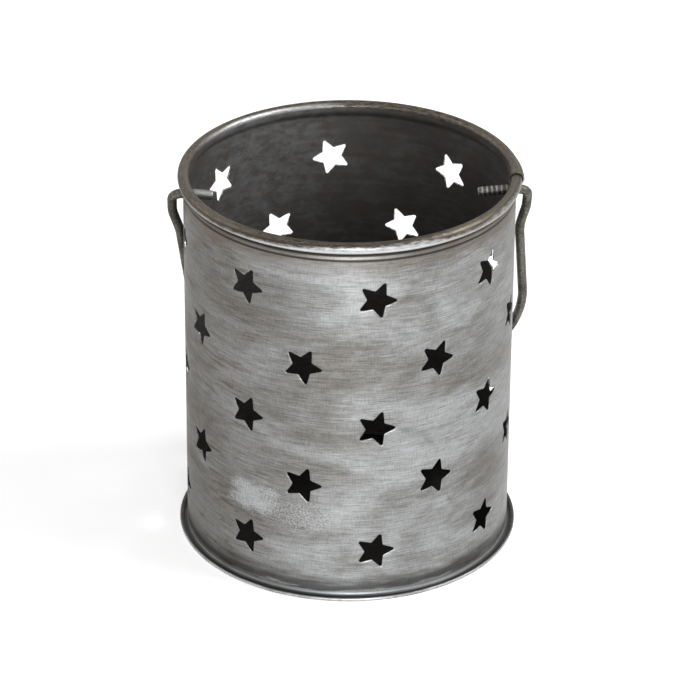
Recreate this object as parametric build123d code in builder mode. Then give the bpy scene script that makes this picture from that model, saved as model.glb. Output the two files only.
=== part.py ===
"""Punched tin lantern: a star-punched can with a rolled rim, a hemmed base and a wire bail.

Millimetres and degrees. +Z is up, the lantern stands on Z = 0 and its axis is the Z axis.
The bail pivots on a line along X, and at rest it hangs against the wall on the +Y side.
Angles round the can are measured from +X towards +Y.
"""
import os
from math import asin, atan, cos, degrees, pi, radians, sin

from build123d import *

os.makedirs("parts", exist_ok=True)

# Can: one punched sheet, rolled up and lapped on itself
body_diameter = 110.0
body_height = 131.7
sheet = 0.45

# Rolled rim: the sheet steps in at a neck and then curls outwards round an empty core
roll_diameter = 3.8
roll_overhang = 1.8
roll_turn = 290.0
neck_height = 3.4
neck_below_roll = 0.9

# Foot: the sheet turns outwards and the base sheet is folded over it
flange_bend = 1.6
flange_reach = 1.9
hem_clearance = 0.1

# Lap seam: one end of the sheet passes inside the other, and its curl swallows the other curl
lap_gap = 0.08
lap_start_angle = -5.8
lap_end_angle = 3.2
joggle_end_angle = 10.2
roll_tuck_angle = 1.5
lap_sections = 4
mouth_diameter = 5.2
mouth_shift_out = 0.12
mouth_shift_up = 0.1
lap_foot_height = 3.2

# Star punches: five rows, every second row set half a step round, none on the lap seam
star_tip_radius = 7.7
star_notch_radius = 3.5
star_tip_rounding = 0.7
star_notch_rounding = 0.35
star_points = 5
star_wide_angles = (-36.9, -83.1, -130.0, -174.8, 140.5, 94.0, 47.9)
star_seam_angles = (-15.6, -61.1, -108.4, -155.3, 159.6, 114.3, 67.4, 21.2)
star_rows = (
    (110.85, -5.3, star_wide_angles),
    (86.1, -8.0, star_seam_angles),
    (63.8, -0.7, star_wide_angles),
    (42.0, 0.7, star_seam_angles),
    (17.75, 1.2, star_wide_angles),
)
punch_overrun = 3.0

# Wire bail, seen flat in the plane in which it hangs
wire_diameter = 3.2
pivot_height = 123.6
pivot_clearance = 0.35
rim_clearance = 0.25
wall_clearance = 0.75
bail_width = 113.3
bail_reach = 120.2
bail_lean = 5.3
bail_shift = -1.2
ear_length = 9.5
knee_reach = 20.5
ear_bend = 3.0
ear_curve = 22.0
knee_curve = 36.0
tail_right_inset = 12.4
tail_left_inset = 9.8
tail_droop = 1.3
tail_coaxial_inset = 3.2
tail_bend = 12.0
wire_end_chamfer = 0.35

# Worked out from the sizes above
wall_radius = body_diameter / 2
wall_middle = wall_radius - sheet / 2
roll_middle_radius = wall_radius + roll_overhang - roll_diameter / 2
roll_middle_height = body_height - roll_diameter / 2
flange_middle_height = sheet + sheet / 2
flange_edge = wall_radius + flange_reach
hem_fold_radius = flange_edge + hem_clearance
hem_edge = wall_middle + flange_bend
wire_radius = wire_diameter / 2
hang_angle = degrees(asin((wall_radius + wire_radius + wall_clearance) / bail_reach))


def upright_plane(angle):
    """Plane through the can's axis: its X points outwards at this angle and its Y points up."""
    out = (cos(radians(angle)), sin(radians(angle)), 0)
    return Plane(origin=(0, 0, 0), x_dir=out, z_dir=(out[1], -out[0], 0))


def wall_plane(angle, height):
    """Plane that touches the outside of the wall, seen square on from outside."""
    out = (cos(radians(angle)), sin(radians(angle)), 0)
    return Plane(
        origin=(wall_radius * out[0], wall_radius * out[1], height),
        x_dir=(-out[1], out[0], 0),
        z_dir=out,
    )


def sheet_section(angle, lap=0.0, flare=0.0, flanged=True, rolled=True):
    """Cut through the sheet from the foot flange up to the end of the curl.

    lap is how far the wall is set inwards, flare grows the curl from 0 to the full mouth,
    and the flange or the curl can be left off.
    """
    wall = wall_middle - lap
    curl = ((roll_diameter + (mouth_diameter - roll_diameter) * flare) - sheet) / 2
    curl_radius = roll_middle_radius + mouth_shift_out * flare
    curl_height = roll_middle_height + mouth_shift_up * flare
    neck = curl_radius - curl
    neck_top = roll_middle_height - neck_below_roll
    neck_foot = neck_top - neck_height
    turn = 2 * degrees(atan((wall - neck) / neck_height))
    mean_bend = neck_height / sin(radians(turn)) / 2
    with BuildSketch(upright_plane(angle)) as section:
        with BuildLine():
            if flanged:
                Line((flange_edge, flange_middle_height), (wall + flange_bend, flange_middle_height))
                foot = JernArc((wall + flange_bend, flange_middle_height), (-1, 0), flange_bend, -90)
                Line(foot @ 1, (wall, neck_foot))
            else:
                Line((wall, lap_foot_height), (wall, neck_foot))
            lower_bend = JernArc((wall, neck_foot), (0, 1), mean_bend - lap, turn)
            upper_bend = JernArc(lower_bend @ 1, lower_bend % 1, mean_bend + lap, -turn)
            if rolled:
                Line(upper_bend @ 1, (neck, curl_height))
                JernArc((neck, curl_height), (0, 1), curl, -roll_turn)
        trace(line_width=sheet)
    return section.sketch


def flare_at(angle):
    """Share of the mouth's flare that is left at this angle."""
    return (joggle_end_angle - angle) / (joggle_end_angle - lap_start_angle)


def joggle_at(angle):
    """Share of the lap's inward step that is left at this angle, eased at both ends."""
    passed = (angle - lap_end_angle) / (joggle_end_angle - lap_end_angle)
    return (1 + cos(pi * passed)) / 2


def steps_between(first, last):
    """Evenly spaced angles of the sections from first to last."""
    return [first + (last - first) * step / (lap_sections - 1) for step in range(lap_sections)]


# Outline of one star punch
with BuildSketch() as star_punch:
    with BuildLine():
        corners = []
        for point in range(2 * star_points):
            corner_angle = radians(point * 180 / star_points)
            corner_radius = star_tip_radius if point % 2 == 0 else star_notch_radius
            corners.append((corner_radius * cos(corner_angle), corner_radius * sin(corner_angle)))
        Polyline(*corners, close=True)
    make_face()
    by_reach = star_punch.vertices().group_by(lambda corner: corner.center().length)
    fillet(by_reach[-1], radius=star_tip_rounding)
    by_reach = star_punch.vertices().group_by(lambda corner: corner.center().length)
    fillet(by_reach[0], radius=star_notch_rounding)

# Body shell
tuck_angle = lap_start_angle + roll_tuck_angle
full_step = sheet + lap_gap
with BuildPart() as body_shell:
    add(sheet_section(joggle_end_angle))
    revolve(axis=Axis.Z, revolution_arc=360 + tuck_angle - joggle_end_angle)
    add(sheet_section(tuck_angle, rolled=False))
    revolve(axis=Axis.Z, revolution_arc=lap_end_angle - tuck_angle)
    for angle in steps_between(lap_start_angle, lap_end_angle):
        add(sheet_section(angle, full_step, flare_at(angle), flanged=False))
    loft(ruled=True)
    for angle in steps_between(lap_end_angle, joggle_end_angle):
        add(sheet_section(angle, full_step * joggle_at(angle), flare_at(angle)))
    loft(ruled=True)
    for height, tilt, row_angles in star_rows:
        with BuildSketch(*[wall_plane(angle, height) for angle in row_angles]):
            add(star_punch.sketch, rotation=tilt)
    extrude(amount=punch_overrun, both=True, mode=Mode.SUBTRACT)
    with BuildSketch(Plane.YZ.offset(-wall_radius - punch_overrun)):
        with Locations((0, pivot_height)):
            Circle(wire_radius + pivot_clearance)
    extrude(amount=2 * (wall_radius + punch_overrun), mode=Mode.SUBTRACT)
body_shell.part.label = "body_shell"
export_step(body_shell.part, "parts/body_shell.step")

# Base pan: a flat floor whose edge folds up and back over the shell's flange
with BuildPart() as base_pan:
    with BuildSketch(Plane.XZ):
        with BuildLine():
            floor = Line((0, sheet / 2), (hem_fold_radius, sheet / 2))
            fold = JernArc(floor @ 1, floor % 1, sheet, 180)
            Line(fold @ 1, (hem_edge, (fold @ 1).Y))
        trace(line_width=sheet)
    revolve(axis=Axis.Z)
base_pan.part.label = "base_pan"
export_step(base_pan.part, "parts/base_pan.step")

# Bail handle: one length of wire, bent flat and then hung by its two inturned ends
leg_slope = sin(radians(bail_lean)) / cos(radians(bail_lean))
leg_offset = bail_width / 2 / cos(radians(bail_lean))
arch_drop = bail_reach - bail_width / 2
mouth_share = flare_at(0)
mouth_middle_radius = roll_middle_radius + mouth_shift_out * mouth_share
mouth_edge = mouth_middle_radius + (roll_diameter + (mouth_diameter - roll_diameter) * mouth_share) / 2
right_ear = mouth_edge + wire_radius + rim_clearance
left_ear = -(wall_radius + roll_overhang + wire_radius + rim_clearance)
right_knee = bail_shift + leg_offset + leg_slope * knee_reach
left_knee = bail_shift - leg_offset + leg_slope * knee_reach
across = (cos(radians(bail_lean)), sin(radians(bail_lean)))
down = (sin(radians(bail_lean)), -cos(radians(bail_lean)))
arch_middle = (bail_shift + arch_drop * down[0], arch_drop * down[1])
arch_right = (arch_middle[0] + bail_width / 2 * across[0], arch_middle[1] + bail_width / 2 * across[1])
arch_left = (arch_middle[0] - bail_width / 2 * across[0], arch_middle[1] - bail_width / 2 * across[1])
arch_low = (bail_shift + bail_reach * down[0], bail_reach * down[1])
hang_plane = Plane(
    origin=(0, 0, pivot_height),
    x_dir=(1, 0, 0),
    z_dir=(0, -cos(radians(hang_angle)), -sin(radians(hang_angle))),
)
with BuildPart() as bail_handle:
    with BuildLine(hang_plane) as bail_line:
        FilletPolyline(
            (wall_radius - tail_right_inset, -tail_droop),
            (wall_radius - tail_coaxial_inset, 0),
            (right_ear, 0),
            (right_ear, -ear_length),
            (right_knee, -knee_reach),
            arch_right,
            radius=[tail_bend, ear_bend, ear_curve, knee_curve],
        )
        ThreePointArc(arch_right, arch_low, arch_left)
        FilletPolyline(
            arch_left,
            (left_knee, -knee_reach),
            (left_ear, -ear_length),
            (left_ear, 0),
            (tail_coaxial_inset - wall_radius, 0),
            (tail_left_inset - wall_radius, -tail_droop),
            radius=[knee_curve, ear_curve, ear_bend, tail_bend],
        )
    bail_wire = bail_line.wire()
    with BuildSketch(Plane(origin=bail_wire @ 0, z_dir=bail_wire % 0)):
        Circle(wire_radius)
    sweep(path=bail_wire)
    wire_ends = bail_handle.faces().filter_by(GeomType.PLANE).edges()
    chamfer(wire_ends, length=wire_end_chamfer)
bail_handle.part.label = "bail_handle"
export_step(bail_handle.part, "parts/bail_handle.step")

print("bail hangs", round(hang_angle, 2), "degrees from upright, wire length", round(bail_wire.length, 1))
print("wire volume", round(bail_handle.part.volume, 1), "of", round(pi * wire_radius**2 * bail_wire.length, 1))
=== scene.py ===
from functools import partial
from math import asin, atan, atan2, cos, dist, pi, radians, sin, tan

import bmesh
import bpy
from bmesh.types import BMEdge, BMVert
from mathutils import Matrix, Vector, noise


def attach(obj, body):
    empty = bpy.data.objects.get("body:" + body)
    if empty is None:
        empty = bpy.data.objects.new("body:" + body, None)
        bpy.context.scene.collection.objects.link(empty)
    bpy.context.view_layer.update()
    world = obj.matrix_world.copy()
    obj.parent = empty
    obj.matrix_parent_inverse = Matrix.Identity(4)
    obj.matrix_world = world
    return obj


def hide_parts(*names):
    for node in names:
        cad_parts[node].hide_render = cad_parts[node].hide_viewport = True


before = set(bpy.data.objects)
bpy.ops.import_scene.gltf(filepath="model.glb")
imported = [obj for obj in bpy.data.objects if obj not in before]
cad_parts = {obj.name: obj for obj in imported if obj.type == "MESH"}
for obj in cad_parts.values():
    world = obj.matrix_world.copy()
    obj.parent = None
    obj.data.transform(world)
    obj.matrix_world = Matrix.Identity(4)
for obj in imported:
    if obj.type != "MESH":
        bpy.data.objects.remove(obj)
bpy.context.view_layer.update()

bl_info = {
    "name": "Punched Tin Lantern",
    "version": (1, 0, 0),
    "blender": (4, 5, 0),
    "location": "View3D > Sidebar > Lantern",
    "description": "Star-punched tin lantern with a rolled rim, a hemmed base and a wire bail",
    "category": "Add Mesh",
}

MM = 0.001


def length(name, description, millimetres):
    """A size property, given in millimetres and held in metres."""
    return bpy.props.FloatProperty(
        name=name, description=description, default=millimetres * MM, subtype="DISTANCE",
        unit="LENGTH", precision=5,
    )


def turn(name, description, angle):
    """An angle property, given in degrees and held in radians."""
    return bpy.props.FloatProperty(
        name=name, description=description, default=radians(angle), subtype="ANGLE",
    )


def colour(name, description, red, green, blue):
    """A colour property in linear red, green and blue."""
    return bpy.props.FloatVectorProperty(
        name=name, description=description, default=(red, green, blue), subtype="COLOR",
        min=0.0, max=1.0,
    )


class SheetSizes(bpy.types.PropertyGroup):
    """Sizes of the rolled tin sheet: its wall, neck, curl, foot and lap seam."""

    diameter: length("Diameter", "Outside of the straight wall", 110.0)
    height: length("Height", "Floor to the top of the rolled rim", 131.7)
    sheet: length("Sheet", "Thickness of the tin", 0.45)
    curl: length("Curl", "Outside diameter of the rolled rim", 3.8)
    curl_overhang: length("Curl overhang", "How far the rim stands out", 1.8)
    curl_turn: turn("Curl turn", "How far round the edge is curled", 290.0)
    neck: length("Neck", "Height of the step under the rim", 3.4)
    neck_drop: length("Neck drop", "From the curl's middle down to the step", 0.9)
    foot_bend: length("Foot bend", "Radius of the bend at the foot", 1.6)
    foot_reach: length("Foot reach", "How far the foot flange stands out", 1.9)
    hem_clearance: length("Hem clearance", "Gap between the flange's edge and the hem", 0.1)
    lap_gap: length("Lap gap", "Gap between the two sheets of the seam", 0.08)
    lap_start: turn("Lap start", "Where the inner end of the sheet starts", -5.8)
    lap_end: turn("Lap end", "Where the outer end of the sheet stops", 3.2)
    joggle_end: turn("Joggle end", "Where the inner sheet is back at full radius", 10.2)
    tuck: turn("Tuck", "How far the small curl reaches into the large one", 1.5)
    mouth: length("Mouth", "Outside diameter of the curl that swallows the other", 5.2)
    mouth_out: length("Mouth shift out", "How far the mouth's middle lies outwards", 0.12)
    mouth_up: length("Mouth shift up", "How far the mouth's middle lies up", 0.1)
    lap_foot: length("Lap foot", "Height at which the inner sheet is cut off", 3.2)
    pin_clearance: length("Pin clearance", "Gap round the bail's pins in their holes", 0.2)


class StarSizes(bpy.types.PropertyGroup):
    """Sizes of one star punch and of the lip that it leaves."""

    tip: length("Tip radius", "Middle to the sharp tip, before rounding", 7.7)
    notch: length("Notch radius", "Middle to the inner corner", 3.5)
    tip_rounding: length("Tip rounding", "Radius on the tips", 0.7)
    notch_rounding: length("Notch rounding", "Radius on the inner corners", 0.35)
    rest_radius: length("Rest radius", "Circle past which the sheet is flat again", 8.4)
    roll_over: length("Roll-over", "How far the punch drags the edge inwards", 0.16)


class BailSizes(bpy.types.PropertyGroup):
    """Sizes of the wire bail, seen flat in the plane in which it hangs."""

    wire: length("Wire", "Diameter of the wire", 3.2)
    pivot_height: length("Pivot height", "Height of the two holes", 123.6)
    width: length("Width", "Between the middles of the legs", 113.3)
    reach: length("Reach", "Pivot line to the middle of the arch", 120.2)
    lean: turn("Lean", "How far the bail leans sideways", 5.3)
    shift: length("Shift", "Sideways place of the bail at the pivots", -1.2)
    rim_clearance: length("Rim clearance", "Gap to the rim as it swings past", 0.25)
    wall_clearance: length("Wall clearance", "Gap to the wall at rest", 0.75)
    ear: length("Ear", "Straight length of the ear below the pivot", 9.5)
    knee: length("Knee", "Depth at which the leg starts", 20.5)
    ear_bend: length("Ear bend", "Bend between the pin and the ear", 3.0)
    ear_curve: length("Ear curve", "Bend at the end of the ear", 22.0)
    knee_curve: length("Knee curve", "Bend at the start of the leg", 36.0)
    tail_bend: length("Tail bend", "Bend of the tails inside the can", 12.0)
    right_tail: length("Right tail", "Wall to the end of the right tail", 12.4)
    left_tail: length("Left tail", "Wall to the end of the left tail", 9.8)
    tail_droop: length("Tail droop", "How far the tails hang down", 1.3)
    tail_straight: length("Tail straight", "Wall to the bend of the tails", 3.2)
    end_chamfer: length("End chamfer", "Chamfer on the cut ends", 0.35)


class FinishColours(bpy.types.PropertyGroup):
    """Colours of the aged tin and of the wire."""

    # Rubbed tin; also used for painted highlights on the outside and the rim
    bright: colour("Rubbed tin", "Where the tin is rubbed bright", 0.44, 0.455, 0.46)
    # Painted highlight, partly real polish, low on the outside of the curl
    polished_and_highlit: colour("Polished tin", "Where the rim is worn smooth underneath", 0.75, 0.76, 0.77)
    # Painted bluish reflection on the foot bend
    foot: colour("Foot bend", "The bend at the foot of the wall", 0.22, 0.24, 0.26)
    tin: colour("Tin", "The brushed tin itself", 0.265, 0.268, 0.267)
    grey: colour("Dull tin", "Where the tin has dulled", 0.145, 0.143, 0.132)
    brown: colour("Patina", "Brown patina in the brushed streaks", 0.125, 0.099, 0.075)
    rim_brown: colour("Rim patina", "Brown patina on the rolled rim", 0.135, 0.118, 0.092)
    # Also painted shade: under the rim, above the foot, in the hem and on the inside
    dark: colour("Dark patina", "Under the rim and above the base", 0.03, 0.028, 0.025)
    inside: colour("Inside", "The dull inside of the can", 0.185, 0.188, 0.19)
    brown_inside: colour("Rust inside", "Brown bloom on the inside", 0.085, 0.07, 0.06)
    wire: colour("Wire", "The drawn wire", 0.175, 0.17, 0.145)
    wire_dark: colour("Dull wire", "Where the wire has dulled", 0.07, 0.066, 0.054)


class StudioSettings(bpy.types.PropertyGroup):
    """The camera, which matches the photograph, and the light."""

    azimuth: turn("Azimuth", "Camera's place round the can, from the -Y side", -2.8)
    elevation: turn("Elevation", "How far the camera looks down", 28.007)
    roll: turn("Roll", "Camera's roll", 0.46)
    distance: length("Distance", "Camera to the point that it looks at", 1274.156)
    aim_height: length("Aim height", "Height of the point that it looks at", 64.177)
    aim_side: length("Aim side", "Sideways place of that point", 0.539)
    focal_pixels: bpy.props.FloatProperty(
        name="Focal length", description="Focal length in pixels of the 700 pixel frame",
        default=3772.247,
    )


class LanternSettings(bpy.types.PropertyGroup):
    """Everything that a user would change."""

    sheet: bpy.props.PointerProperty(type=SheetSizes)
    star: bpy.props.PointerProperty(type=StarSizes)
    bail: bpy.props.PointerProperty(type=BailSizes)
    colours: bpy.props.PointerProperty(type=FinishColours)
    studio: bpy.props.PointerProperty(type=StudioSettings)


# Star punches: height, tilt and the angles of the columns, as in the solid model
STAR_POINTS = 5
WIDE_ANGLES = (-36.9, -83.1, -130.0, -174.8, 140.5, 94.0, 47.9)
SEAM_ANGLES = (-15.6, -61.1, -108.4, -155.3, 159.6, 114.3, 67.4, 21.2)
STAR_ROWS = (
    (110.85, -5.3, WIDE_ANGLES),
    (86.1, -8.0, SEAM_ANGLES),
    (63.8, -0.7, WIDE_ANGLES),
    (42.0, 0.7, SEAM_ANGLES),
    (17.75, 1.2, WIDE_ANGLES),
)

# Steps of the meshes
BEND_STEPS = 6
CURL_STEPS = 36
FOLD_STEPS = 10
TIP_STEPS = 4
NOTCH_STEPS = 2
EDGE_STEPS = 4
PIN_HOLE_SIDES = 32
COLUMN_STEP = radians(2.25)
ROW_STEP = 6.0 * MM
AROUND_STEPS = 240
FLOOR_RINGS = (0.0, 12.0, 24.0, 34.0, 42.0, 48.0, 52.0, 54.5, 56.0)
WIRE_SIDES = 28
WIRE_STEP = 1.2 * MM
SHARP_ANGLE = radians(50)
TOUCHING = 1e-6
ON_LINE = 1e-7

# Rings of a star's lip, towards the cut: share of the way out and share of the drop
LIP_RINGS = ((0.34, 0.0), (0.15, 0.1), (0.06, 0.38), (0.0, 1.0))

# Gentle dents in the wall, and how far they fade out towards its edges and the seam
DENT_DEPTH = 0.07 * MM
DENT_SIZE = 38.0 * MM
RIM_FADE = 2 * ROW_STEP
FOOT_FADE = ROW_STEP
SEAM_FADE = 4 * ROW_STEP
SEAM_MARGIN = radians(12)

# The shell's materials, and where each starts
OUTSIDE, INSIDE, CUT_EDGE, RIM = range(4)
RIM_FINISH_RISE = 4.4 * MM
FACES_SIDEWAYS = 0.55

# Plier marks on the wire, as radians of their wave in a millimetre
GRIP_TEETH = 3.9

# Tint of the tin's reflections at grazing angles
EDGE_TINT = (0.72, 0.71, 0.7, 1)

# Studio: lamps as name, azimuth, elevation, distance, size and power
LAMPS = (
    ("front_lamp", 2, 6, 1.1, (0.4, 0.9), 10.5),
    ("left_lamp", -110, 35, 1.0, (0.4, 0.6), 1),
    ("right_lamp", 80, 45, 1.0, (0.5, 0.6), 8),
)
LAMP_AIM_HEIGHT = 0.06
FLOOR_SIZE = 12.0
FLOOR_COLOUR = (0.8, 0.8, 0.8, 1)
FLOOR_ROUGHNESS = 0.9
FLOOR_GLOW = 0.5
WHITE = (1, 1, 1, 1)
AMBIENT_LIGHT = 0.4
BACKDROP_LIGHT = 1.0
FRAME_PIXELS = 700
CLIP_END = 50.0


def settings():
    """The lantern's settings in the open scene."""
    return bpy.context.scene.lantern


def link_object(name, data):
    """Puts a new object with this data into the scene."""
    item = bpy.data.objects.new(name, data)
    bpy.context.scene.collection.objects.link(item)
    return item


def object_from(bm, name):
    """Makes an object from a bmesh."""
    mesh = bpy.data.meshes.new(name)
    bm.to_mesh(mesh)
    bm.free()
    return link_object(name, mesh)


def add_piece(name, bm, body, node):
    """Makes an object from a bmesh, in place of a CAD node."""
    piece = object_from(bm, name)
    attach(piece, body)
    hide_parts(node)
    return piece


def thicken(piece, thickness):
    """Gives a sheet its thickness, half to each side, and applies the modifier."""
    solid = piece.modifiers.new("Thickness", "SOLIDIFY")
    solid.thickness = thickness
    solid.offset = 0.0
    solid.use_even_offset = True
    graph = bpy.context.evaluated_depsgraph_get()
    finished = bpy.data.meshes.new_from_object(piece.evaluated_get(graph))
    flat, name = piece.data, piece.data.name
    piece.modifiers.clear()
    piece.data = finished
    bpy.data.meshes.remove(flat)
    finished.name = name


def finish_piece(piece, finishes):
    """Gives a piece its materials and marks its sharp edges."""
    for finish in finishes:
        piece.data.materials.append(finish())
    piece.data.set_sharp_from_angle(angle=SHARP_ANGLE)


def write_map(bm, name, place_of):
    """Writes a UV map, with each vertex where place_of puts it."""
    uv_map = bm.loops.layers.uv.new(name)
    for face in bm.faces:
        for loop in face.loops:
            loop[uv_map].uv = place_of(loop.vert)


def made(result, kind):
    """Elements of one kind in the result of a bmesh operator."""
    return [item for item in result["geom"] if isinstance(item, kind)]


def last_ring(result):
    """Edges of the ring that an extrusion has just made."""
    verts = set(made(result, BMVert))
    return [edge for edge in made(result, BMEdge) if set(edge.verts) <= verts]


def edges_at(verts):
    """Edges that meet these vertices."""
    return list(dict.fromkeys(edge for vert in verts for edge in vert.link_edges))


# Rolled shell

def wall_middle(sizes):
    """Radius of the middle of the sheet in the straight wall."""
    return sizes.diameter / 2 - sizes.sheet / 2


def neck_foot_height(sizes):
    """Height at which the straight wall ends and the neck starts."""
    return sizes.height - sizes.curl / 2 - sizes.neck_drop - sizes.neck


def curl_diameter(sizes, flare):
    """Outside diameter of the curl, for a share of the mouth's flare."""
    return sizes.curl + (sizes.mouth - sizes.curl) * flare


def curl_place(sizes, flare):
    """Radius, height and sheet-middle radius of the curl, for a share of the mouth's flare."""
    radius = sizes.diameter / 2 + sizes.curl_overhang - sizes.curl / 2 + sizes.mouth_out * flare
    height = sizes.height - sizes.curl / 2 + sizes.mouth_up * flare
    return radius, height, (curl_diameter(sizes, flare) - sizes.sheet) / 2


def flare_at(sizes, angle):
    """Share of the mouth's flare at this angle."""
    return max(0.0, sizes.joggle_end - angle) / (sizes.joggle_end - sizes.lap_start)


def lap_at(sizes, angle):
    """How far the sheet is set inwards at this angle."""
    passed = (angle - sizes.lap_end) / (sizes.joggle_end - sizes.lap_end)
    passed = min(max(passed, 0.0), 1.0)
    return (sizes.sheet + sizes.lap_gap) * (1 + cos(pi * passed)) / 2


def arc_points(middle, radius, first, last, steps):
    """Points along an arc, without its first point."""
    points = []
    for step in range(1, steps + 1):
        angle = first + (last - first) * step / steps
        points.append((middle[0] + radius * cos(angle), middle[1] + radius * sin(angle)))
    return points


def rim_profile(sizes, lap, flare):
    """Neck and curl as (radius, height) points upwards from the top of the straight wall."""
    wall = wall_middle(sizes) - lap
    curl_radius, curl_height, curl = curl_place(sizes, flare)
    neck = curl_radius - curl
    neck_foot = neck_foot_height(sizes)
    bend = 2 * atan((wall - neck) / sizes.neck)
    mean = sizes.neck / sin(bend) / 2
    lower, upper = mean - lap, mean + lap
    points = arc_points((wall - lower, neck_foot), lower, 0, bend, BEND_STEPS)
    points += arc_points((neck + upper, neck_foot + sizes.neck), upper, pi + bend, pi, BEND_STEPS)
    points.append((neck, curl_height))
    points += arc_points((curl_radius, curl_height), curl, pi, pi - sizes.curl_turn, CURL_STEPS)
    return points


def foot_profile(sizes, lap, _flare):
    """Foot bend and flange as (radius, height) points downwards from the bottom of the wall."""
    wall = wall_middle(sizes) - lap
    flange = sizes.sheet * 3 / 2
    bend = sizes.foot_bend
    points = [(wall, flange + bend)]
    points += arc_points((wall + bend, flange + bend), bend, pi, 3 * pi / 2, BEND_STEPS)
    points.append((sizes.diameter / 2 + sizes.foot_reach, flange))
    return points


def rounded_corner(before, corner, after, radius, steps):
    """Points of a rounded corner between two straight edges."""
    inward = (before - corner).normalized()
    onward = (after - corner).normalized()
    half = inward.angle(onward) / 2
    setback = radius / tan(half)
    start = corner + inward * setback
    end = corner + onward * setback
    middle = corner + (inward + onward).normalized() * radius / sin(half)
    points = []
    for step in range(steps + 1):
        reach = start.lerp(end, step / steps) - middle
        points.append(middle + reach.normalized() * radius)
    return points


def star_outline(star):
    """Points round one star with rounded corners, anticlockwise from the first tip."""
    corners = []
    for point in range(2 * STAR_POINTS):
        reach = star.tip if point % 2 == 0 else star.notch
        angle = point * pi / STAR_POINTS
        corners.append(Vector((reach * cos(angle), reach * sin(angle))))
    rounded = []
    for index, corner in enumerate(corners):
        before, after = corners[index - 1], corners[(index + 1) % len(corners)]
        is_tip = index % 2 == 0
        radius = star.tip_rounding if is_tip else star.notch_rounding
        steps = TIP_STEPS if is_tip else NOTCH_STEPS
        rounded.append(rounded_corner(before, corner, after, radius, steps))
    outline = []
    for index, group in enumerate(rounded):
        outline += group
        start, end = group[-1], rounded[(index + 1) % len(rounded)][0]
        outline += [start.lerp(end, step / EDGE_STEPS) for step in range(1, EDGE_STEPS)]
    return outline


def in_turn(verts, middle):
    """Vertices in order round a middle point."""
    return sorted(verts, key=lambda vert: atan2(vert.co.y - middle.y, vert.co.x - middle.x))


def fit_circle(verts, star, outline, middle, tilt):
    """Lines a circle up with a tilted star; returns its edges and the star's points in order."""
    turned = [Matrix.Rotation(tilt, 2) @ point for point in outline]
    turned.sort(key=lambda point: atan2(point.y, point.x))
    ring = in_turn(verts, middle)
    for vert, point in zip(ring, turned):
        place = middle + point.normalized() * star.rest_radius
        vert.co = (place.x, place.y, 0.0)
    return edges_at(ring), turned


def draw_lip(bm, star, middle, edges, turned):
    """Adds the rings of the lip that the punch leaves at the star's edge."""
    for share, drop in LIP_RINGS:
        result = bmesh.ops.extrude_edge_only(bm, edges=edges)
        edges = [edge for edge in made(result, BMEdge) if edge.is_boundary]
        for vert, point in zip(in_turn(made(result, BMVert), middle), turned):
            outer = point.normalized() * star.rest_radius
            place = middle + point.lerp(outer, share)
            vert.co = (place.x, place.y, -star.roll_over * drop)


def cut_lines(bm, places, normal):
    """Cuts the flat sheet along straight lines across a direction."""
    for place in places:
        bmesh.ops.bisect_plane(
            bm, geom=bm.verts[:] + bm.edges[:] + bm.faces[:], dist=ON_LINE,
            plane_co=normal * place, plane_no=normal,
        )


def tuck_line(sizes):
    """Flat place at which the small curl ends inside the mouth."""
    return wall_middle(sizes) * (sizes.lap_start + 2 * pi + sizes.tuck)


def extend_edge(bm, run, profile_at, start, past, sign):
    """Grows the sheet's edge along a profile, one ring of quads for each of its points.

    profile_at gives the points for a lap and a flare. start is the edge's height, past is where
    along it the growth begins, and sign is 1 for the rim and -1 for the foot.
    """
    sizes = settings().sheet
    middle = wall_middle(sizes)
    edges = [edge for edge in bm.edges if edge.is_boundary and all(
        abs(vert.co.y - start) < TOUCHING and vert.co.x > past for vert in edge.verts
    )]
    travelled = 0.0
    previous = (middle, edges[0].verts[0].co.y)
    for step, point in enumerate(profile_at(0.0, 0.0)):
        travelled += dist(point, previous)
        previous = point
        result = bmesh.ops.extrude_edge_only(bm, edges=edges)
        for vert in made(result, BMVert):
            angle = vert.co.x / middle
            radius, height = profile_at(lap_at(sizes, angle), flare_at(sizes, angle))[step]
            vert.co = (vert.co.x, height, radius - middle)
            vert[run] = start + sign * travelled
        edges = last_ring(result)
        if sign > 0 and step == 2 * BEND_STEPS - 1:
            limit = tuck_line(sizes) + TOUCHING
            edges = [edge for edge in edges if max(vert.co.x for vert in edge.verts) <= limit]


def draw_stars(bm, middle):
    """Draws a circle round each star; returns all edges, and (place, edges, points) of each."""
    star = settings().star
    outline = star_outline(star)
    circles, punches = [], []
    for height, tilt, angles in STAR_ROWS:
        for angle in angles:
            place = Vector((middle * (radians(angle) % (2 * pi)), height * MM))
            circle = bmesh.ops.create_circle(
                bm, segments=len(outline), radius=star.rest_radius,
                matrix=Matrix.Translation((place.x, place.y, 0)),
            )
            edges, turned = fit_circle(circle["verts"], star, outline, place, radians(tilt))
            circles += edges
            punches.append((place, edges, turned))
    return circles, punches


def draw_pin_holes(bm, middle):
    """Draws the bail's holes; the right one goes through both layers of the lap."""
    sizes, bail = settings().sheet, settings().bail
    edges = []
    for angle in (0, pi, 2 * pi):
        circle = bmesh.ops.create_circle(
            bm, segments=PIN_HOLE_SIDES, radius=bail.wire / 2 + sizes.pin_clearance,
            matrix=Matrix.Translation((middle * angle, bail.pivot_height, 0)),
        )
        edges += edges_at(circle["verts"])
    return edges


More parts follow.
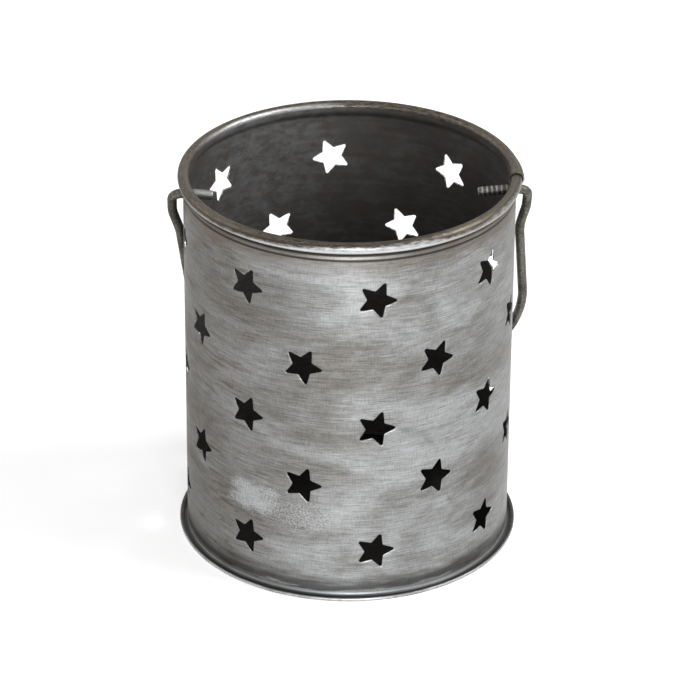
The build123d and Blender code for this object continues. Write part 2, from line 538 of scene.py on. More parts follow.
def dent_and_lap(bm, last, bottom, top):
    """Sways the flat wall a little, calm at its edges and at the seam, and sets the lap inwards."""
    sizes = settings().sheet
    middle = wall_middle(sizes)
    calm_from, calm_to = middle * sizes.joggle_end, last - middle * SEAM_MARGIN
    for vert in bm.verts:
        along, up = vert.co.x, vert.co.y
        sway = noise.noise(Vector((along, up, 0)) / DENT_SIZE) * DENT_DEPTH
        edge_fade = min(1.0, (top - up) / RIM_FADE, (up - bottom) / FOOT_FADE)
        seam_fade = min(1.0, (along - calm_from) / SEAM_FADE, (calm_to - along) / SEAM_FADE)
        sway *= max(0.0, edge_fade) * max(0.0, seam_fade)
        vert.co.z += sway - lap_at(sizes, along / middle)


def flat_sheet():
    """The whole sheet laid flat: x runs round the can, y is height and z is depth."""
    sizes, star = settings().sheet, settings().star
    middle = wall_middle(sizes)
    first, last = middle * sizes.lap_start, middle * (2 * pi + sizes.lap_end)
    bottom, top = sizes.lap_foot, neck_foot_height(sizes)
    bm = bmesh.new()
    run = bm.verts.layers.float.new("run")
    corners = [bm.verts.new(place) for place in (
        (first, bottom, 0), (last, bottom, 0), (last, top, 0), (first, top, 0)
    )]
    outlines = [bm.edges.new((corners[index - 1], corners[index])) for index in range(4)]
    circles, punches = draw_stars(bm, middle)
    outlines += circles + draw_pin_holes(bm, middle)
    bmesh.ops.triangle_fill(bm, edges=outlines, use_beauty=True, normal=(0, 0, 1))
    for place, edges, turned in punches:
        draw_lip(bm, star, place, edges, turned)
    steps = int((last - first) / middle / COLUMN_STEP)
    columns = [first + (last - first) * step / steps for step in range(1, steps)]
    columns += [middle * sizes.lap_end, middle * sizes.joggle_end, tuck_line(sizes)]
    cut_lines(bm, columns, Vector((1, 0, 0)))
    steps = int((top - bottom) / ROW_STEP)
    rows = [bottom + (top - bottom) * step / steps for step in range(1, steps)]
    cut_lines(bm, rows, Vector((0, 1, 0)))
    for vert in bm.verts:
        vert[run] = vert.co.y
    dent_and_lap(bm, last, bottom, top)
    extend_edge(bm, run, partial(rim_profile, sizes), top, first - TOUCHING, 1)
    # The inner layer of the lap has no flange
    past_lap = middle * sizes.lap_end - TOUCHING
    extend_edge(bm, run, partial(foot_profile, sizes), bottom, past_lap, -1)
    return bm, run


def roll_up(bm, run):
    """Writes the flat place into the UV map and rolls the sheet into a can."""
    middle = wall_middle(settings().sheet)
    write_map(bm, "Flat", lambda vert: (vert.co.x, vert[run]))
    for vert in bm.verts:
        angle = vert.co.x / middle
        radius = middle + vert.co.z
        vert.co = (radius * cos(angle), radius * sin(angle), vert.co.y)


def mark_finishes(piece, rim_run, foot_run):
    """Gives each face of the shell its material: outside, inside, cut edge or rolled rim."""
    mesh = piece.data
    flat = mesh.uv_layers["Flat"].data
    for polygon in mesh.polygons:
        run = sum(flat[loop].uv.y for loop in polygon.loop_indices) / polygon.loop_total
        place = polygon.center
        outward = Vector((place.x, place.y, 0)).normalized().dot(polygon.normal)
        if run > rim_run:
            polygon.material_index = RIM
        elif run >= foot_run and abs(outward) < FACES_SIDEWAYS:
            polygon.material_index = CUT_EDGE
        else:
            polygon.material_index = OUTSIDE if run < foot_run or outward > 0 else INSIDE


class LANTERN_OT_rolled_shell(bpy.types.Operator):
    """Punch the flat sheet with stars, curl its edges and roll it into the can"""

    bl_idname = "lantern.rolled_shell"
    bl_label = "Rolled shell"

    def execute(self, context):
        sizes = settings().sheet
        bm, run = flat_sheet()
        roll_up(bm, run)
        shell = add_piece("rolled_shell", bm, "can", "body_shell")
        thicken(shell, sizes.sheet)
        finish_piece(shell, (outside_tin, inside_tin, cut_edge, rim_tin))
        mark_finishes(shell, neck_foot_height(sizes) + RIM_FINISH_RISE, sizes.lap_foot)
        return {"FINISHED"}


# Base

class LANTERN_OT_hemmed_base(bpy.types.Operator):
    """Spin the round floor and fold its edge over the shell's flange"""

    bl_idname = "lantern.hemmed_base"
    bl_label = "Hemmed base"

    def execute(self, context):
        sizes = settings().sheet
        fold = sizes.diameter / 2 + sizes.foot_reach + sizes.hem_clearance
        low = sizes.sheet / 2
        points = [(reach * MM, low) for reach in FLOOR_RINGS] + [(fold, low)]
        points += arc_points((fold, low + sizes.sheet), sizes.sheet, -pi / 2, pi / 2, FOLD_STEPS)
        points.append((wall_middle(sizes) + sizes.foot_bend, low + 2 * sizes.sheet))
        bm = bmesh.new()
        verts = [bm.verts.new((radius, 0, height)) for radius, height in points]
        edges = [bm.edges.new(pair) for pair in zip(verts, verts[1:])]
        bmesh.ops.spin(
            bm, geom=verts + edges, cent=(0, 0, 0), axis=(0, 0, 1), angle=2 * pi,
            steps=AROUND_STEPS, use_merge=True,
        )
        bmesh.ops.remove_doubles(bm, verts=bm.verts, dist=TOUCHING)
        bmesh.ops.recalc_face_normals(bm, faces=bm.faces)
        base = add_piece("hemmed_base", bm, "can", "base_pan")
        thicken(base, sizes.sheet)
        finish_piece(base, (hem_tin,))
        return {"FINISHED"}


# Bail

def leg_corners(side, ear, tail):
    """Corners and bend radii of one leg from its tail to the arch; side is -1 on the left."""
    bail = settings().bail
    wall = settings().sheet.diameter / 2
    across = Vector((cos(bail.lean), sin(bail.lean)))
    down = Vector((sin(bail.lean), -cos(bail.lean)))
    middle = Vector((bail.shift, 0)) + down * (bail.reach - bail.width / 2)
    knee = bail.shift + side * bail.width / 2 / cos(bail.lean) + tan(bail.lean) * bail.knee
    return [
        (Vector((side * (wall - tail), -bail.tail_droop)), 0.0),
        (Vector((side * (wall - bail.tail_straight), 0)), bail.tail_bend),
        (Vector((ear, 0)), bail.ear_bend),
        (Vector((ear, -bail.ear)), bail.ear_curve),
        (Vector((knee, -bail.knee)), bail.knee_curve),
        (middle + across * side * bail.width / 2, 0.0),
    ]


def bail_corners():
    """Corners of both legs, flat, with the pivots on y = 0 and the arch below."""
    sizes, bail = settings().sheet, settings().bail
    gap = bail.wire / 2 + bail.rim_clearance
    flare = flare_at(sizes, 0.0)
    right_ear = curl_place(sizes, flare)[0] + curl_diameter(sizes, flare) / 2 + gap
    left_ear = -(sizes.diameter / 2 + sizes.curl_overhang + gap)
    right = leg_corners(1, right_ear, bail.right_tail)
    return right, leg_corners(-1, left_ear, bail.left_tail)[::-1]


def bending_moves(corners):
    """Straight runs and bends that follow the corners: (length, 0) or (radius, turn)."""
    moves = []
    start = corners[0][0]
    for (corner, radius), (after, _) in zip(corners[1:], corners[2:]):
        heading = (corner - start).normalized()
        onward = (after - corner).normalized()
        angle = atan2(heading.x * onward.y - heading.y * onward.x, heading.dot(onward))
        setback = radius * tan(abs(angle) / 2)
        moves.append(((corner - start).length - setback, 0.0))
        moves.append((radius, angle))
        start = corner + onward * setback
    moves.append(((corners[-1][0] - start).length, 0.0))
    return moves


def bend_wire(bm, moves, start, heading):
    """Draws a round wire along the moves in the plane z = 0.

    Returns two layers of the vertices: the run along the wire and the share of a turn round it.
    """
    bail = settings().bail
    run = bm.verts.layers.float.new("run")
    side = bm.verts.layers.float.new("side")
    place, ahead = start.to_3d(), heading.to_3d()
    circle = bmesh.ops.create_circle(bm, cap_ends=False, segments=WIRE_SIDES, radius=bail.wire / 2)
    ring = circle["verts"]
    for index, vert in enumerate(ring):
        vert[side] = index / WIRE_SIDES
    upright = Matrix((ahead.cross((0, 0, 1)), (0, 0, 1), ahead)).transposed().to_4x4()
    bmesh.ops.transform(bm, matrix=Matrix.Translation(place) @ upright, verts=ring)
    edges = first_edges = edges_at(ring)
    travelled = 0.0
    for size, angle in moves:
        distance = size if angle == 0.0 else size * abs(angle)
        steps = max(1, round(distance / WIRE_STEP))
        if angle == 0.0:
            move = Matrix.Translation(ahead * distance / steps)
        else:
            inward = Vector((-ahead.y, ahead.x, 0)) * (1 if angle > 0 else -1)
            centre = place + inward * size
            rotation = Matrix.Rotation(angle / steps, 4, "Z")
            move = Matrix.Translation(centre) @ rotation @ Matrix.Translation(-centre)
        for _ in range(steps):
            result = bmesh.ops.extrude_edge_only(bm, edges=edges)
            verts = made(result, BMVert)
            bmesh.ops.transform(bm, matrix=move, verts=verts)
            travelled += distance / steps
            for vert in verts:
                vert[run] = travelled
            edges = last_ring(result)
            place = move @ place
        ahead = Matrix.Rotation(angle, 4, "Z") @ ahead
    for end in (first_edges, edges):
        cap = bmesh.ops.holes_fill(bm, edges=end, sides=WIRE_SIDES)
        rim = [edge for face in cap["faces"] for edge in face.edges]
        bmesh.ops.bevel(
            bm, geom=rim, offset=bail.end_chamfer, segments=2, profile=0.5, affect="EDGES",
            material=-1,
        )
    return run, side


class LANTERN_OT_bent_bail(bpy.types.Operator):
    """Bend one length of wire into the bail and hang it by its ends"""

    bl_idname = "lantern.bent_bail"
    bl_label = "Bent bail"

    def execute(self, context):
        sizes, bail = settings().sheet, settings().bail
        right, left = bail_corners()
        moves = bending_moves(right) + [(bail.width / 2, -pi)] + bending_moves(left)
        heading = (right[1][0] - right[0][0]).normalized()
        bm = bmesh.new()
        run, side = bend_wire(bm, moves, right[0][0], heading)
        write_map(bm, "Length", lambda vert: (vert[side], vert[run]))
        hang = asin((sizes.diameter / 2 + bail.wire / 2 + bail.wall_clearance) / bail.reach)
        low, out = sin(hang), cos(hang)
        plane = Matrix(((1, 0, 0), (0, -low, -out), (0, out, -low))).to_4x4()
        place = Matrix.Translation((0, 0, bail.pivot_height))
        bmesh.ops.transform(bm, matrix=place @ plane, verts=bm.verts)
        bmesh.ops.recalc_face_normals(bm, faces=bm.faces)
        wire = add_piece("bent_bail", bm, "bail", "bail_handle")
        for polygon in wire.data.polygons:
            polygon.use_smooth = True
        finish_piece(wire, (wire_finish,))
        return {"FINISHED"}


# Materials

def add_node(tree, kind, inputs, **options):
    """Adds a node, sets its options and feeds its inputs with sockets or plain values."""
    node = tree.nodes.new("ShaderNode" + kind)
    for name, value in options.items():
        setattr(node, name, value)
    for name, value in inputs.items():
        if isinstance(value, bpy.types.NodeSocket):
            tree.links.new(value, node.inputs[name])
        else:
            node.inputs[name].default_value = value
    return node


class Finish:
    """One node material, whose methods add nodes and return what comes out of them."""

    def __init__(self, name):
        self.material = bpy.data.materials.new(name)
        self.material.use_nodes = True
        self.tree = self.material.node_tree
        self.tree.nodes.clear()

    def node(self, kind, inputs, output=0, **options):
        """Any node, and one of its outputs."""
        return add_node(self.tree, kind, inputs, **options).outputs[output]

    def math(self, operation, *values):
        """A Math node over two or three values."""
        return self.node("Math", dict(enumerate(values)), operation=operation)

    def times(self, first, second):
        """first * second"""
        return self.math("MULTIPLY", first, second)

    def times_plus(self, first, factor, rest):
        """first * factor + rest"""
        return self.math("MULTIPLY_ADD", first, factor, rest)

    def place(self, uv_name=None):
        """A place in millimetres, on a UV map or in the object: the vector and its three parts."""
        if uv_name:
            source = self.node("UVMap", {}, uv_map=uv_name)
        else:
            source = self.node("TexCoord", {}, "Object")
        scaled = self.node("VectorMath", {0: source, "Scale": 1 / MM}, operation="SCALE")
        return scaled, *add_node(self.tree, "SeparateXYZ", {0: scaled}).outputs

    def noise(self, place, often, detail, rough, distortion=0.0, angle=0.0, shift=(0, 0, 0)):
        """A noise that repeats so often in a millimetre, turned and shifted first."""
        turned = {"Vector": place, "Rotation": (0, 0, angle), "Location": shift}
        scaled = {"Vector": self.node("Mapping", turned), "Scale": often}
        return self.node("TexNoise", {
            "Vector": self.node("Mapping", scaled), "Scale": 1.0, "Detail": detail,
            "Roughness": rough, "Distortion": distortion,
        }, "Fac")

    def between(self, value, low, high, out_low=0.0, out_high=1.0):
        """Maps a value smoothly from low..high to out_low..out_high."""
        span = {"From Min": low, "From Max": high, "To Min": out_low, "To Max": out_high}
        return self.node("MapRange", {"Value": value, **span}, interpolation_type="SMOOTHSTEP")

    def window(self, value, span):
        """1 between full and fade, and 0 outside start and end, of the four values in span."""
        start, full, fade, end = span
        rising = self.between(value, start, full)
        return self.times(rising, self.between(value, fade, end, 1.0, 0.0))

    def mix(self, share, first, second):
        """first where the share is 0 and second where it is 1; a colour can be a setting's name."""
        first, second = (
            (*getattr(settings().colours, end), 1.0) if isinstance(end, str) else end
            for end in (first, second)
        )
        return self.node("Mix", {"Factor": share, 6: first, 7: second}, 2, data_type="RGBA")

    def layers(self, base, *layers):
        """Lays colours over the base in turn, each one a name, its share and maybe its strength."""
        for name, *shares in layers:
            base = self.mix(self.times(*shares) if len(shares) > 1 else shares[0], base, name)
        return base

    def surface(self, inputs):
        """Ends the tree with a shader and returns the material."""
        shader = self.node("BsdfPrincipled", inputs)
        add_node(self.tree, "OutputMaterial", {"Surface": shader})
        return self.material

    def metal(self, base, roughness, height=None, strength=0.0, depth=0.0, metallic=1.0):
        """The finished material of aged metal, with relief from a height; depth in millimetres."""
        inputs = {"Base Color": base, "Roughness": roughness, "Metallic": metallic}
        if height is not None:
            relief = {"Height": height, "Strength": strength, "Distance": depth * MM}
            inputs["Normal"] = self.node("Bump", relief)
        return self.surface({**inputs, "Specular Tint": EDGE_TINT})


# Places on the flat sheet in millimetres, round the can or up it: start, full, fade and end
# Painted highlights are strongest at the front
FRONT = (200, 252, 275, 345)
# Browner at the left: patina, and painted shade
LEFT = (140, 170, 205, 255)
# Painted highlight along the right-hand edge
RIGHT_EDGE_HIGHLIGHT = (305, 330, 340, 345)
FALLING_PART = (160, 180, 205, 235)
RISING_PART = (285, 300, 335, 350)
# A painted vertical highlight line on the wall
PAINTED_HIGHLIGHT_LINE = (283.5, 287, 287.4, 292)
SCUFF_ROUND, SCUFF_UP = (214, 226, 233, 248), (27, 37, 41, 50)
TAIL_ROUND, TAIL_UP = (226, 240, 252, 264), (26, 33, 38, 47)
# Painted shade low on the wall, just above the foot bend
SHADE_ABOVE_FOOT_UP = (5.8, 7.0, 8.4, 12.5)
# Painted bluish reflection on the foot bend
FOOT_SHEEN_UP = (0.9, 1.5, 2.0, 2.7)
# Painted shade in the crease at the neck's foot
CREASE_SHADE_UP = (124.7, 125.0, 125.5, 125.8)

# Patterns of the outside: repeats in a millimetre, detail, roughness, distortion, angle and shift
CLOUDS = ((0.022, 0.045, 1), 5, 0.6, 0.5)
MOTTLE = ((0.09, 0.22, 1), 5, 0.65, 0.4, 0, (60, 11, 0))
LEVEL_STROKES = ((0.02, 0.9, 1), 6, 0.72, 0.25)
FALLING_STROKES = ((0.02, 0.9, 1), 6, 0.72, 0.25, radians(5))
RISING_STROKES = ((0.025, 0.9, 1), 6, 0.72, 0.25, radians(-8))
HAIRS = ((0.14, 2.6, 1), 4, 0.75, 0.1)
THREADS = ((2.4, 0.3, 1), 3, 0.7)
GRAIN = ((2.3, 2.7, 1), 2, 0.6)
WISPS = ((0.06, 0.5, 1), 6, 0.74, 0.5, 0, (31, 7, 0))
SCRATCHES = ((0.09, 2.9, 1), 4, 0.75, 0.2, 0, (9, 90, 0))
RAGGED_EDGE = ((0.05, 0.3, 1), 3, 0.6)
SCUFF_WARP = ((0.14, 0.2, 1), 5, 0.7)
SCUFF_GRAIN = ((1.5, 1.8, 1), 3, 0.8, 0, 0.3)


def outside_tin():
    """Brushed, aged tin: soft mottling, fine level hairlines, brown wisps, one scuffed patch, and
    painted highlights at the front and the right edge.
    """
    tin = Finish("outside_tin")
    place, along, height, _ = tin.place("Flat")
    front, left = tin.window(along, FRONT), tin.window(along, LEFT)
    clouds, mottle, hairs = (tin.noise(place, *pattern) for pattern in (CLOUDS, MOTTLE, HAIRS))
    strokes = tin.mix(
        tin.window(along, FALLING_PART), tin.noise(place, *LEVEL_STROKES),
        tin.noise(place, *FALLING_STROKES),
    )
    strokes = tin.mix(tin.window(along, RISING_PART), strokes, tin.noise(place, *RISING_STROKES))
    tone = tin.times_plus(clouds, 0.26, tin.times(mottle, 0.18))
    tone = tin.times_plus(strokes, 0.22, tone)
    tone = tin.times_plus(hairs, 0.16, tone)
    tone = tin.times_plus(tin.noise(place, *GRAIN), 0.18, tone)

    # Rubbed tin and pale clouds, both with a painted highlight strongest at the front
    rubbed = tin.times(tin.between(tone, 0.4, 0.7), tin.times_plus(front, 0.62, 0.2))
    pale = tin.times(tin.between(clouds, 0.48, 0.66), tin.times_plus(front, 0.4, 0.1))
    reach = tin.times_plus(left, 0.4, tin.times_plus(front, -0.15, 0.5))
    scratches = tin.between(tin.noise(place, *SCRATCHES), 0.56, 0.72)
    pale_grain, dark_grain = scuffed(tin, place, along, height)
    woven = tin.times_plus(tin.noise(place, *THREADS), 0.4, tin.times(hairs, 0.6))
    base = tin.layers(
        tin.mix(tin.between(tone, 0.34, 0.62), "grey", "tin"),
        # Rubbed bright, most of all at the front, where it is also a painted highlight
        ("bright", rubbed),
        # Painted vertical highlight line
        ("bright", tin.window(along, PAINTED_HIGHLIGHT_LINE), 0.14),
        ("bright", pale),
        # Brown patina, most of all at the left, where it is also painted shade
        ("brown", tin.between(clouds, 0.34, 0.5, 0.24, 0.0)),
        ("brown", tin.between(tin.noise(place, *WISPS), 0.5, 0.68), reach),
        ("brown", left, 0.16),
        # Painted highlight along the right-hand edge
        ("bright", tin.window(along, RIGHT_EDGE_HIGHLIGHT), 0.25),
        ("brown", scratches, tin.between(mottle, 0.4, 0.6, 0.1, 0.6)),
        # The scuffed patch, and fine dark threads everywhere
        ("brown", dark_grain, 0.7),
        ("bright", pale_grain, 0.9),
        ("dark", tin.between(woven, 0.36, 0.6, 0.38, 0.0)),
    )
    base = painted_edge_light_and_shade(tin, base, place, along, height, front)
    relief = tin.times_plus(strokes, 0.5, tin.times(hairs, 0.5))
    return tin.metal(base, tin.between(tone, 0.42, 0.6, 0.5, 0.42), relief, 0.2, 0.12)


def scuffed(tin, place, along, height):
    """Masks of the scuffed patch: its pale grains, and the dark grains of its scattered tail."""
    warp = tin.noise(place, *SCUFF_WARP)
    across = tin.times_plus(warp, 16.0, along)
    up = tin.times_plus(warp, 12.0, height)
    core = tin.times(tin.window(across, SCUFF_ROUND), tin.window(up, SCUFF_UP))
    tail = tin.times(tin.window(across, TAIL_ROUND), tin.window(up, TAIL_UP))
    grain = tin.noise(place, *SCUFF_GRAIN)
    cover = tin.math("MAXIMUM", core, tin.times(tail, 0.62))
    pale_grain = tin.between(tin.times_plus(cover, 0.52, grain), 0.74, 1.03)
    dark_grain = tin.times(tail, tin.between(grain, 0.4, 0.5, 1.0, 0.0))
    return pale_grain, dark_grain


def painted_edge_light_and_shade(tin, base, place, along, height, front):
    """Lays painted shade and light over the tin: a dark band above the foot, a bluish reflection on
    the foot bend, and shade on the flange, under the rim and in the neck's crease.
    """
    ragged = tin.times_plus(tin.noise(place, *RAGGED_EDGE), 7.0, height)
    # Painted shade: a dark line in the crease at the neck's foot, and the neck above 126.5 mm under
    # the curl
    crease_and_neck_shade = tin.math("MAXIMUM", tin.window(height, CREASE_SHADE_UP), tin.between(height, 126.3, 126.7))
    return tin.layers(
        base,
        # Painted shade in a ragged band just above the foot bend, less of it at the right
        ("dark", tin.window(ragged, SHADE_ABOVE_FOOT_UP), tin.between(along, 285, 320, 0.78, 0.55)),
        # Painted bluish reflection on the foot bend, strongest at the front
        ("foot", tin.window(height, FOOT_SHEEN_UP), tin.times_plus(front, 0.45, 0.35)),
        # Painted shade on the flange inside the hem
        ("dark", tin.between(height, 0.9, 1.5, 0.85, 0.0)),
        # Brown under the rim: patina, and painted shade under the curl, weaker at the front
        ("brown", tin.between(ragged, 122, 129), tin.times_plus(front, -0.3, 0.75)),
        # Painted shade at the neck
        ("dark", crease_and_neck_shade, 0.9),
    )


INNER_CLOUDS = ((0.05, 0.07, 1), 5, 0.62, 0.4)
INNER_STREAKS = ((0.05, 0.5, 1), 4, 0.6, 0.3)
INNER_RUST = ((0.15, 0.24, 1), 6, 0.75, 0.2, 0, (5, 40, 0))
# Painted light on the inside at the back-left
INNER_LIT_PART = (66, 112, 122, 160)


def inside_tin():
    """The dull inside: nearly black on the right, with painted light that makes it pale and mottled
    on the left under the rim.
    """
    tin = Finish("inside_tin")
    place, along, height, _ = tin.place("Flat")
    streaks = tin.noise(place, *INNER_STREAKS)
    tone = tin.times_plus(streaks, 0.35, tin.times(tin.noise(place, *INNER_CLOUDS), 0.65))
    # Painted light: paler at the back-left, fading out downwards
    lit_patch = tin.times(tin.window(along, INNER_LIT_PART), tin.between(height, 74, 106))
    amount = tin.times_plus(lit_patch, 0.6, tin.between(tone, 0.4, 0.64, 0.2, 0.6))
    rust = tin.between(tin.noise(place, *INNER_RUST), 0.4, 0.64, 0.1, 0.8)
    base = tin.layers(tin.mix(amount, "dark", "inside"), ("brown_inside", rust))
    return tin.metal(base, tin.between(tone, 0.4, 0.7, 0.6, 0.5), tone, 0.15, 0.2, metallic=0.6)


def cut_edge():
    """The bright sheared edge of the punched holes."""
    tin = Finish("cut_edge")
    place = tin.place()[0]
    grain = tin.noise(place, (2.5, 2.5, 2.5), 3, 0.6)
    return tin.metal(tin.mix(tin.between(grain, 0.35, 0.65), "tin", "bright"), 0.42)


RIM_PATCHES = ((0.05, 0.3, 1), 4, 0.62, 0.3)
RIM_SCRATCHES = ((0.4, 1.6, 1), 4, 0.7, 0.2)
# Places round the rim, and along its curl, in millimetres
RIM_LEFT = (160, 190, 232, 250)
RIM_RIGHT = (278, 290, 300, 315)
# Painted highlight on the curl's outside at the front
RIM_FRONT_HIGHLIGHT = (205, 238, 272, 300)
# Painted highlight on the curl's inner flank at the back
RIM_BACK_HIGHLIGHT = (82, 100, 128, 158)
# Painted shade on the curl's inner flank at the front
RIM_SHADED_FLANK = (205, 235, 280, 300)
RIM_GREY_BACK, RIM_GREY_FRONT = (20, 45, 110, 150), (210, 235, 275, 295)
RIM_LINE = (135.2, 135.6, 135.8, 136.2)


def rim_tin():
    """The rolled rim: brown on top, its outside burnished at the front and its inside at the back,
    with painted highlights on both, and painted shade on the front's inner flank and the neck.
    """
    tin = Finish("rim_tin")
    place, along, run, _ = tin.place("Flat")
    patches, scratch = tin.noise(place, *RIM_PATCHES), tin.noise(place, *RIM_SCRATCHES)
    edge = tin.times_plus(scratch, 1.6, tin.times_plus(patches, 1.6, run))
    # The worn band on the outside, with its painted highlight, is smaller at the left and right
    reached = tin.times_plus(tin.window(along, RIM_LEFT), -1.0, edge)
    reached = tin.times_plus(tin.window(along, RIM_RIGHT), -0.6, reached)

    # Where the rim is worn, which also carries painted highlights: its outside at the front and its
    # inside at the back
    front_wear_and_highlight = tin.times_plus(tin.window(along, RIM_FRONT_HIGHLIGHT), 0.45, 0.5)
    back_flank_highlight = tin.times_plus(tin.window(along, RIM_BACK_HIGHLIGHT), 0.8, 0.05)
    outside = tin.times(tin.between(reached, 135.9, 137.0), front_wear_and_highlight)
    inside = tin.times(tin.between(edge, 132.9, 133.9, 1.0, 0.0), back_flank_highlight)
    worn_and_highlit = tin.math("MAXIMUM", outside, inside)

    at_side = tin.math("SUBTRACT", 1.0, tin.window(along, RIM_GREY_BACK))
    at_side = tin.math("SUBTRACT", at_side, tin.window(along, RIM_GREY_FRONT))
    patchy = tin.times_plus(tin.between(patches, 0.4, 0.62), 0.45, 0.3)
    dull = tin.mix(tin.between(scratch, 0.36, 0.62), "dark", "brown")
    dull = tin.layers(dull, ("rim_brown", patchy, at_side))
    rubbed = tin.mix(tin.between(scratch, 0.4, 0.62), "tin", "bright")
    # Painted highlight, partly real polish, low on the outside of the curl
    rubbed = tin.layers(rubbed, ("polished_and_highlit", tin.between(run, 135.3, 136.5, 0.0, 0.9)))

    # Dark line at the edge of the wear, painted shade on the inner flank at the front, and painted
    # shade on the neck below the curl
    line = tin.times(tin.window(reached, RIM_LINE), 0.6)
    front_flank_shade = tin.times(tin.between(run, 132.7, 133.6, 0.75, 0.0), tin.window(along, RIM_SHADED_FLANK))
    base = tin.layers(
        tin.mix(worn_and_highlit, dull, rubbed),
        ("dark", tin.math("MAXIMUM", line, front_flank_shade)),
        # Painted shade on the neck below the curl
        ("dark", tin.between(run, 128.6, 129.8, 0.8, 0.0)),
    )
    rough = tin.between(scratch, 0.4, 0.65, 0.46, 0.36)
    return tin.metal(base, rough, scratch, 0.2, 0.15, metallic=0.75)


def hem_tin():
    """The base and its hem: painted shade on the floor inside the can and on top of the fold,
    rubbed bright on its outer edge.
    """
    tin = Finish("hem_tin")
    place, _, _, height = tin.place()
    patches = tin.noise(place, (0.07, 0.07, 0.07), 4, 0.6)
    scratch = tin.noise(place, (0.7, 0.7, 1.4), 4, 0.68)
    tone = tin.times_plus(patches, 0.55, tin.times(scratch, 0.45))
    reach = tin.node("VectorMath", {0: place}, "Value", operation="LENGTH")
    edge = tin.between(tone, 0.4, 0.56, 0.3, 0.9)
    floor = tin.times(tin.between(reach, 53.5, 55.0, 1.0, 0.0), tin.between(height, 0.15, 0.3))
    base = tin.layers(
        tin.mix(tin.between(tone, 0.38, 0.6), "grey", "tin"),
        ("bright", tin.between(reach, 56.6, 57.2), edge),
        # Painted shade on top of the fold, next to the wall
        ("dark", tin.between(tin.times_plus(scratch, 0.5, height), 1.3, 1.5), 0.85),
        # Painted shade on the floor inside the can
        ("dark", floor, 0.85),
    )
    return tin.metal(base, tin.between(tone, 0.4, 0.65, 0.48, 0.36), scratch, 0.2, 0.15)


def wire_finish():
    """Grey-brown drawn wire with dull patches and bright plier marks on its right tail."""
    wire = Finish("wire_finish")
    _, _, run, _ = wire.place("Length")
    place = wire.place()[0]
    patches = wire.noise(place, (0.11, 0.11, 0.11), 4, 0.6)
    specks = wire.noise(place, (1.1, 1.1, 1.1), 4, 0.68)
    tone = wire.times_plus(patches, 0.5, wire.times(specks, 0.5))
    tooth = wire.math("SINE", wire.times_plus(run, GRIP_TEETH, wire.times(specks, 4.0)))
    gripped = wire.times(wire.between(tooth, 0.1, 0.7), wire.between(run, 9.5, 11.5, 1.0, 0.0))
    base = wire.layers(
        wire.mix(wire.between(tone, 0.4, 0.64), "wire_dark", "wire"),
        ("tin", wire.between(specks, 0.56, 0.72, 0.0, 0.8)),
        ("bright", gripped, 0.55),
        ("tin", wire.between(run, 322, 326, 0.0, 0.7)),
    )
    rough = wire.between(tone, 0.4, 0.65, 0.55, 0.42)
    return wire.metal(base, rough, wire.times_plus(gripped, 0.8, specks), 0.35, 0.2)


# Studio

def looking_at(aim, azimuth, elevation, distance, roll=0.0):
    """Place of a camera or lamp that looks at a point, swung round the can from its -Y side."""
    swing = Matrix.Rotation(azimuth, 4, "Z") @ Matrix.Translation(aim)
    tilt = Matrix.Rotation(pi / 2 - elevation, 4, "X") @ Matrix.Rotation(roll, 4, "Z")
    return swing @ tilt @ Matrix.Translation((0, 0, distance))


def place_camera():
    """Puts the camera where the photograph was taken from."""
    view = settings().studio
    data = bpy.data.cameras.new("camera")
    data.sensor_fit = "HORIZONTAL"
    data.lens = view.focal_pixels * data.sensor_width / FRAME_PIXELS
    data.clip_end = CLIP_END
    camera = link_object("camera", data)
    aim = (view.aim_side, 0, view.aim_height)
    camera.matrix_world = looking_at(aim, view.azimuth, view.elevation, view.distance, view.roll)
    bpy.context.scene.camera = camera


def add_lamp(name, azimuth, elevation, distance, size, power):
    """Adds a soft lamp that faces the lantern."""
    data = bpy.data.lights.new(name, "AREA")
    data.shape = "RECTANGLE"
    data.size, data.size_y = size
    data.energy = power
    link_object(name, data).matrix_world = looking_at(
        (0, 0, LAMP_AIM_HEIGHT), radians(azimuth), radians(elevation), distance
    )


def shown_white(tree):
    """1 for rays that see the backdrop from the camera or through gloss or glass."""
    path = add_node(tree, "LightPath", {})
    total = path.outputs["Is Camera Ray"]
    for name in ("Is Glossy Ray", "Is Transmission Ray"):
        both = {0: total, 1: path.outputs[name]}
        total = add_node(tree, "Math", both, operation="MAXIMUM").outputs[0]
    return total


def floor_material():
    """Pale floor that keeps the lantern's shadow."""
    floor = Finish("pale_floor")
    return floor.surface({
        "Base Color": FLOOR_COLOUR, "Roughness": FLOOR_ROUGHNESS, "Emission Color": WHITE,
        "Emission Strength": floor.times(shown_white(floor.tree), FLOOR_GLOW),
    })


def light_world(world):
    """Gives the world a soft even light that looks white itself."""
    world.use_nodes = True
    tree = world.node_tree
    strength = add_node(tree, "MapRange", {
        "Value": shown_white(tree), "To Min": AMBIENT_LIGHT, "To Max": BACKDROP_LIGHT,
    })
    background = tree.nodes["Background"]
    background.inputs["Color"].default_value = WHITE
    tree.links.new(strength.outputs[0], background.inputs["Strength"])


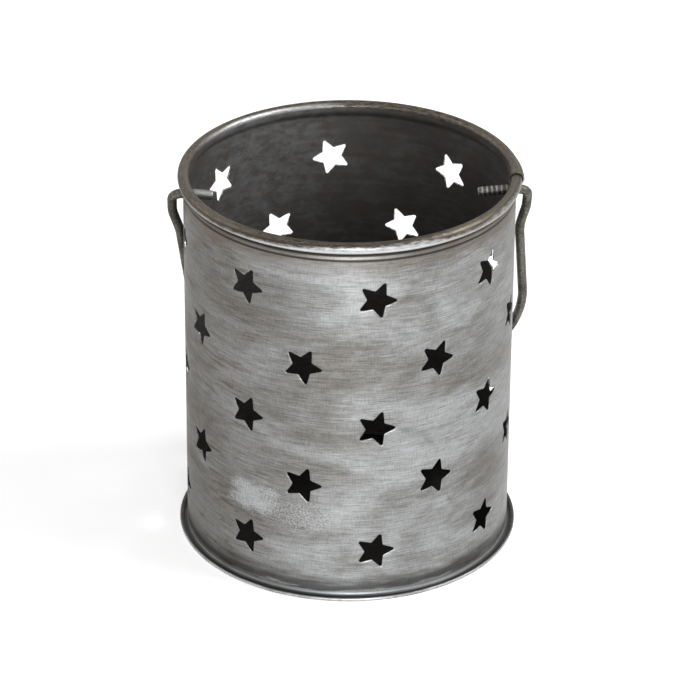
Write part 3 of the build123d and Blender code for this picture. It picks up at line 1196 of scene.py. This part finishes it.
class LANTERN_OT_studio(bpy.types.Operator):
    """Add the pale floor, the soft lamps and the camera of the photograph"""

    bl_idname = "lantern.studio"
    bl_label = "Studio"

    def execute(self, context):
        scene = context.scene
        scene.view_settings.view_transform = "Standard"
        place_camera()
        bm = bmesh.new()
        bmesh.ops.create_grid(bm, x_segments=1, y_segments=1, size=FLOOR_SIZE)
        floor = object_from(bm, "floor")
        floor.data.materials.append(floor_material())
        for lamp in LAMPS:
            add_lamp(*lamp)
        scene.world = bpy.data.worlds.new("studio")
        light_world(scene.world)
        return {"FINISHED"}


class LANTERN_PT_sidebar(bpy.types.Panel):
    """Lists the lantern's pieces and the studio"""

    bl_label = "Punched Tin Lantern"
    bl_idname = "LANTERN_PT_sidebar"
    bl_space_type = "VIEW_3D"
    bl_region_type = "UI"
    bl_category = "Lantern"

    def draw(self, context):
        for operator in MAKING_ORDER:
            self.layout.operator(operator.bl_idname)
        for group in ("sheet", "star", "bail", "colours", "studio"):
            box = self.layout.box()
            box.label(text=group.capitalize())
            values = getattr(context.scene.lantern, group)
            for name in values.bl_rna.properties.keys():
                if name not in {"rna_type", "name"}:
                    box.prop(values, name)


MAKING_ORDER = (
    LANTERN_OT_studio, LANTERN_OT_rolled_shell, LANTERN_OT_hemmed_base, LANTERN_OT_bent_bail,
)
CLASSES = (
    SheetSizes, StarSizes, BailSizes, FinishColours, StudioSettings, LanternSettings,
    *MAKING_ORDER, LANTERN_PT_sidebar,
)


def register():
    """Registers the add-on's classes and its settings."""
    for cls in CLASSES:
        bpy.utils.register_class(cls)
    bpy.types.Scene.lantern = bpy.props.PointerProperty(type=LanternSettings)


def unregister():
    """Removes the add-on's settings and classes."""
    del bpy.types.Scene.lantern
    for cls in reversed(CLASSES):
        bpy.utils.unregister_class(cls)


def main():
    """Makes the lantern and its studio."""
    register()
    bpy.ops.lantern.studio()
    bpy.ops.lantern.rolled_shell()
    bpy.ops.lantern.hemmed_base()
    bpy.ops.lantern.bent_bail()


if __name__ == "__main__":
    main()
